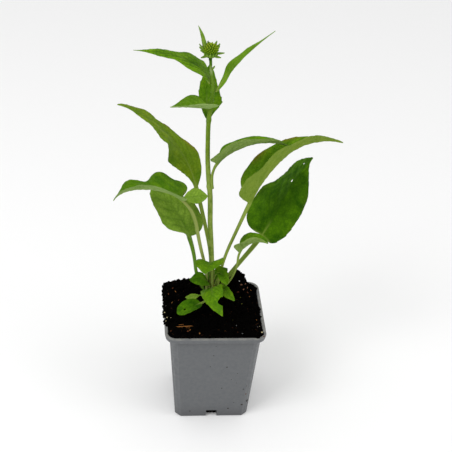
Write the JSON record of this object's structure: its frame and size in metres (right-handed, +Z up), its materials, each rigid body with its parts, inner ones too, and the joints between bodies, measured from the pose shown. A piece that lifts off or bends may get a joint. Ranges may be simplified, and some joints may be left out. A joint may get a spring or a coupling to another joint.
{
  "type": "potted coneflower",
  "caption": "Young coneflower in a square grey nursery pot: one leaning stem with a closed flower bud, long-stalked leaves and a crown of small leaves over dark soil.",
  "frame": {"origin": "centre of the pot's flat underside, on the surface that the pot stands on", "axes": "+Z up, +X to the right seen from the front of the pot, +Y to the back, where the plant stands a little behind the pot's middle"},
  "size_m": [0.1969, 0.1191, 0.3638],
  "materials": {
    "pot": "satin",
    "soil": "matte",
    "stem": "satin",
    "bud": "satin",
    "leaf": "satin"
  },
  "bodies": {
    "root": {"pot": "pot", "soil": "soil", "main_stem": "stem", "flower_bud": "bud", "leaf_top_left": "leaf", "leaf_top_right": "leaf", "leaf_behind_stem": "leaf", "leaf_small_left": "leaf", "leaf_stem_right": "leaf", "leaf_tall_left": "leaf", "leaf_arching_left": "leaf", "leaf_broad_left": "leaf", "leaf_long_right": "leaf", "leaf_broad_right": "leaf", "leaf_folded_right": "leaf", "crown_leaf_cupped": "leaf", "crown_leaf_curled": "leaf", "crown_leaf_left": "leaf", "crown_leaf_front": "leaf", "crown_leaf_right": "leaf", "crown_leaf_tiny": "leaf", "crown_leaf_low": "leaf", "crown_leaf_back_right": "leaf", "crown_leaf_back_left": "leaf", "leaf_tall_left_stalk": "stem", "leaf_arching_left_stalk": "stem", "leaf_broad_left_stalk": "stem", "leaf_long_right_stalk": "stem", "leaf_broad_right_stalk": "stem", "leaf_folded_right_stalk": "stem"}
  },
  "joints": []
}
